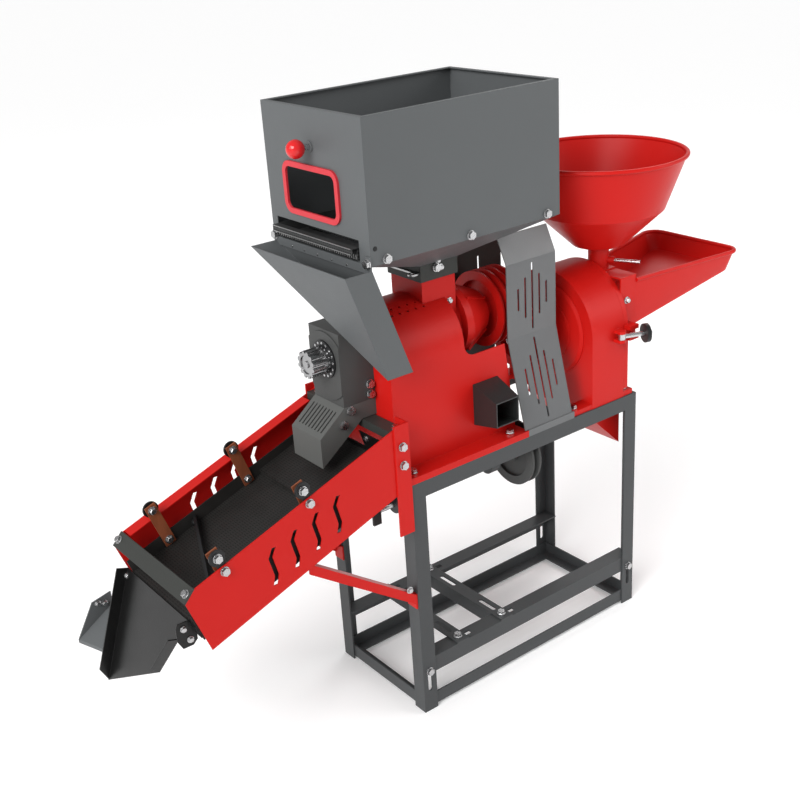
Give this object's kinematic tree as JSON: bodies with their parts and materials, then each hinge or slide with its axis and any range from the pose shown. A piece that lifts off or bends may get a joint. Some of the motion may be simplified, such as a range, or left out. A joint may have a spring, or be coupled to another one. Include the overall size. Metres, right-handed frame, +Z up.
{
  "type": "rice huller",
  "caption": "Rice mill and crusher on an angle-iron stand with a grain hopper, a feed funnel and a shaking screen tray.",
  "frame": {"origin": "centre of the machine's footprint box, on the floor", "axes": "+X from the screen tray to the crusher, +Y from the side with the bran duct to the far side, +Z up"},
  "size_m": [1.3638, 0.3638, 1.093],
  "materials": {
    "red_paint": "smooth red enamel",
    "grey_paint": "satin dark grey enamel",
    "black_paint": "satin black enamel",
    "frame_plastic": "dull red moulded frame",
    "knob_plastic": "glossy red ball",
    "screen_steel": "bare steel sheet",
    "shaft_steel": "turned steel",
    "chrome": "bright plated",
    "cast": "bare casting",
    "spring_wood": "laminated brown spring board"
  },
  "bodies": {
    "stand": {"stand_legs": "grey_paint", "stand_top_frame": "grey_paint", "stand_base_ring": "grey_paint", "motor_rails": "grey_paint", "motor_bars": "grey_paint", "stand_bolts": "chrome", "mill_base": "red_paint", "mill_cover": "red_paint", "rice_screen": "screen_steel", "shaft_bearings": "shaft_steel", "feed_casting": "red_paint", "inlet_block": "red_paint", "gate_box": "grey_paint", "bran_duct": "black_paint", "outlet_head": "grey_paint", "index_ring": "black_paint", "outlet_hood": "grey_paint", "machine_bolts": "chrome", "grain_hopper": "grey_paint", "window_frame": "frame_plastic", "debris_chute": "grey_paint", "belt_guard": "grey_paint", "crusher_casing": "red_paint", "crusher_housing": "red_paint", "crusher_screen": "screen_steel", "crusher_outlet": "red_paint", "trough_near_panel": "red_paint", "trough_far_panel": "red_paint", "trough_bars": "grey_paint", "trough_brackets": "red_paint", "trough_strut": "red_paint", "spring_discs": "black_paint", "pillow_blocks": "grey_paint"},
    "mill_rotor": {"mill_shaft": "shaft_steel", "milling_rotor": "cast", "mill_pulley": "red_paint"},
    "knob": {"pressure_knob": "chrome"},
    "plug": {"pressure_plug": "cast"},
    "gate": {"feed_gate": "screen_steel"},
    "sieve": {"hopper_sieve": "screen_steel"},
    "shutter": {"shutter_rod": "shaft_steel", "ball_knob": "knob_plastic"},
    "crusher_drive": {"crusher_shaft": "shaft_steel", "crusher_rotor": "cast", "crusher_pulley": "red_paint"},
    "door": {"crusher_door": "red_paint", "feed_throat": "red_paint", "feed_tray": "red_paint", "funnel_hopper": "red_paint"},
    "screw": {"lock_screw": "shaft_steel"},
    "latch": {"swing_bolt": "shaft_steel"},
    "nut": {"hand_nut": "black_paint"},
    "shaker": {"screen_tray": "black_paint", "deflector_bar": "black_paint", "end_chute": "black_paint", "side_chute": "grey_paint"},
    "near_leaves": {"leaf_springs_near": "spring_wood"},
    "far_leaves": {"leaf_springs_far": "spring_wood"},
    "eccentric": {"drive_shaft": "shaft_steel", "drive_pulley": "black_paint"}
  },
  "joints": [
    {"name": "mill_spin", "type": "hinge", "parent": "stand", "child": "mill_rotor", "pos_m": [0.05294, 0.00908, 0.685], "axis": [1, 0, 0], "continuous": true},
    {"name": "crusher_spin", "type": "hinge", "parent": "stand", "child": "crusher_drive", "pos_m": [0.25294, -0.00192, 0.607], "axis": [1, 0, 0], "continuous": true},
    {"name": "eccentric_spin", "type": "hinge", "parent": "stand", "child": "eccentric", "pos_m": [-0.02706, -0.05192, 0.41], "axis": [1, 0, 0], "continuous": true},
    {"name": "shaker_slide", "type": "slide", "parent": "stand", "child": "shaker", "axis": [0, 1, 0], "range_m": [-0.002, 0.002], "stiffness_N_per_m": 20000},
    {"name": "near_leaf_bend", "type": "hinge", "parent": "stand", "child": "near_leaves", "pos_m": [-0.46681, -0.10382, 0.51153], "axis": [0.9455, 0, 0.3256], "range_deg": [-1.8, 1.8]},
    {"name": "far_leaf_bend", "type": "hinge", "parent": "stand", "child": "far_leaves", "pos_m": [-0.46453, 0.10598, 0.50492], "axis": [0.9455, 0, 0.3256], "range_deg": [-1.8, 1.8]},
    {"name": "knob_turn", "type": "hinge", "parent": "stand", "child": "knob", "pos_m": [-0.26406, 0.00908, 0.685], "axis": [1, 0, 0], "range_deg": [0, 720]},
    {"name": "plug_slide", "type": "slide", "parent": "stand", "child": "plug", "axis": [-1, 0, 0], "range_m": [0, 0.008]},
    {"name": "gate_slide", "type": "slide", "parent": "stand", "child": "gate", "axis": [-1, 0, 0], "range_m": [0, 0.045]},
    {"name": "sieve_slide", "type": "slide", "parent": "stand", "child": "sieve", "axis": [-1, 0, 0], "range_m": [0, 0.15]},
    {"name": "shutter_slide", "type": "slide", "parent": "stand", "child": "shutter", "axis": [-1, 0, 0], "range_m": [0, 0.05]},
    {"name": "door_swing", "type": "hinge", "parent": "stand", "child": "door", "pos_m": [0.35494, 0.12208, 0.608], "axis": [0, 0, 1], "range_deg": [0, 100]},
    {"name": "screw_turn", "type": "hinge", "parent": "door", "child": "screw", "pos_m": [0.39485, -0.05417, 0.718], "axis": [0.4226, -0.9063, 0], "range_deg": [0, 720]},
    {"name": "latch_swing", "type": "hinge", "parent": "stand", "child": "latch", "pos_m": [0.32494, -0.12792, 0.602], "axis": [0, 0, 1], "range_deg": [-67, 23]},
    {"name": "nut_turn", "type": "hinge", "parent": "latch", "child": "nut", "pos_m": [0.36913, -0.14667, 0.602], "axis": [0.9205, -0.3907, 0], "range_deg": [0, 720]}
  ],
  "couplings": [
    {"joint": "near_leaf_bend", "follows": "shaker_slide", "rad_per_m": 15.152},
    {"joint": "far_leaf_bend", "follows": "shaker_slide", "rad_per_m": 15.152},
    {"joint": "plug_slide", "follows": "knob_turn", "m_per_rad": 0.00063662}
  ]
}
